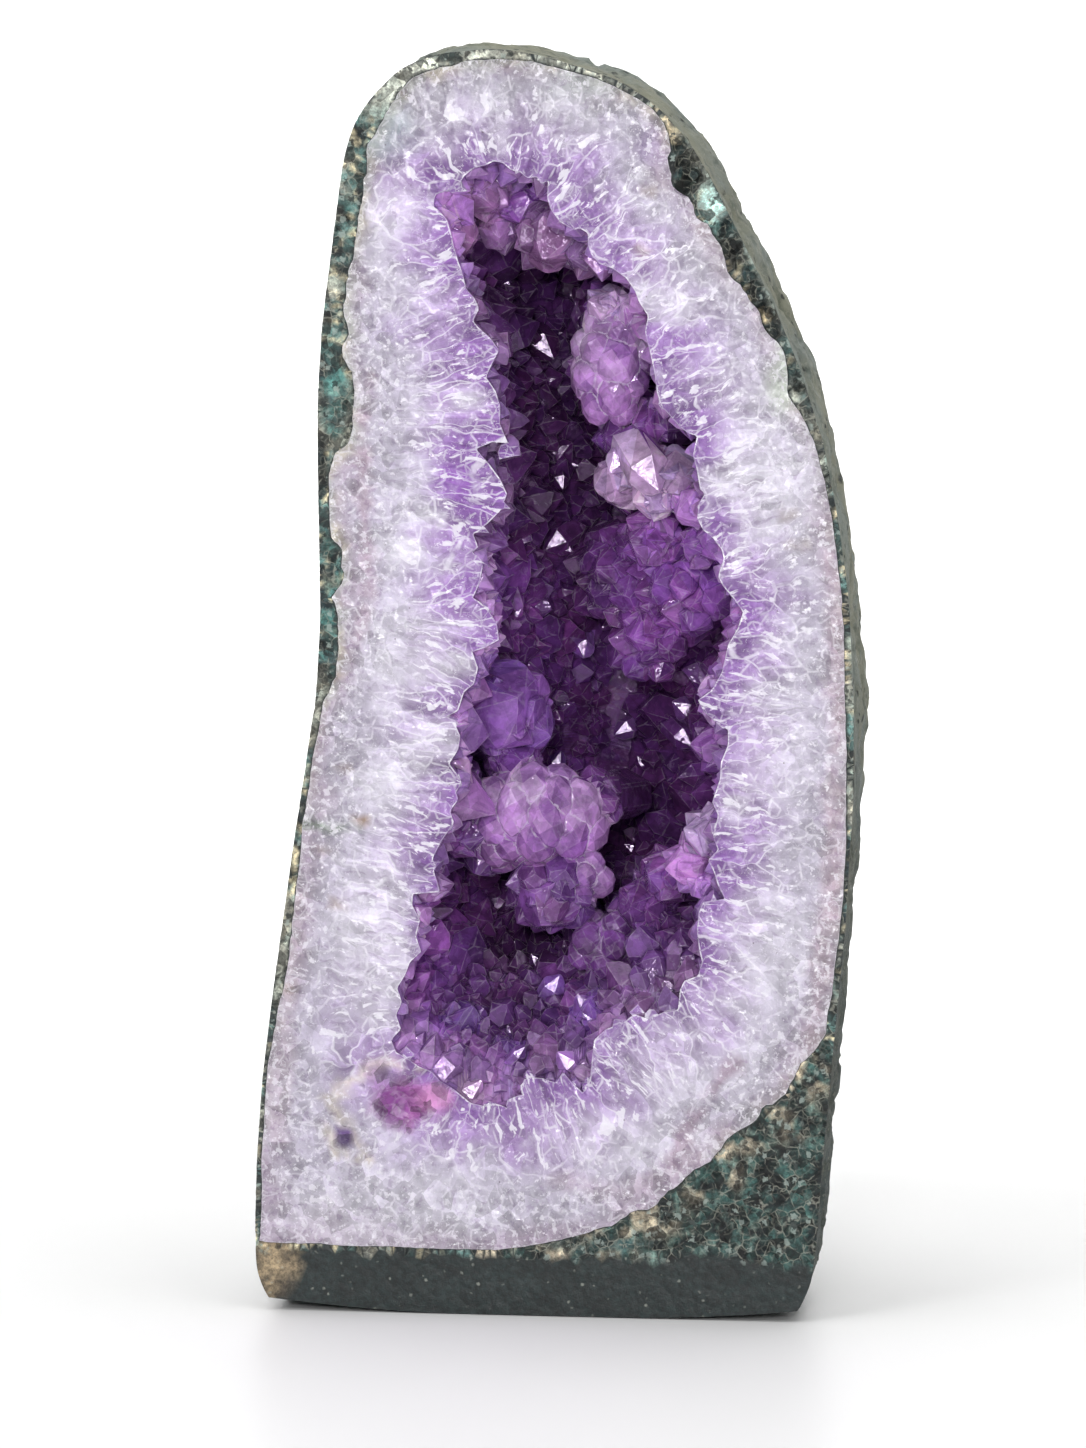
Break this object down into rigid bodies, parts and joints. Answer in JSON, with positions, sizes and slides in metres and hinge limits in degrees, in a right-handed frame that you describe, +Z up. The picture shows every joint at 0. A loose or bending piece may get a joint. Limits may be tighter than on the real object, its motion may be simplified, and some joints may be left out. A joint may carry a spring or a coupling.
{
  "type": "amethyst geode",
  "caption": "Upright amethyst geode half with a sawn front face, an open crystal-lined cavity and a flat sawn base to stand on.",
  "frame": {"origin": "centre of the bounding box's base, on the surface that the stone stands on", "axes": "+Z up along the height, sawn front face towards -Y, +X to the right seen from the front"},
  "size_m": [0.1474, 0.112, 0.3112],
  "materials": {
    "rock": "sawn and honed on the front and base, rough elsewhere",
    "amethyst": "polished on the sawn face, glassy crystal faces in the cavity"
  },
  "bodies": {
    "root": {"host_rock": "rock", "crystal_lining": "amethyst"}
  },
  "joints": []
}
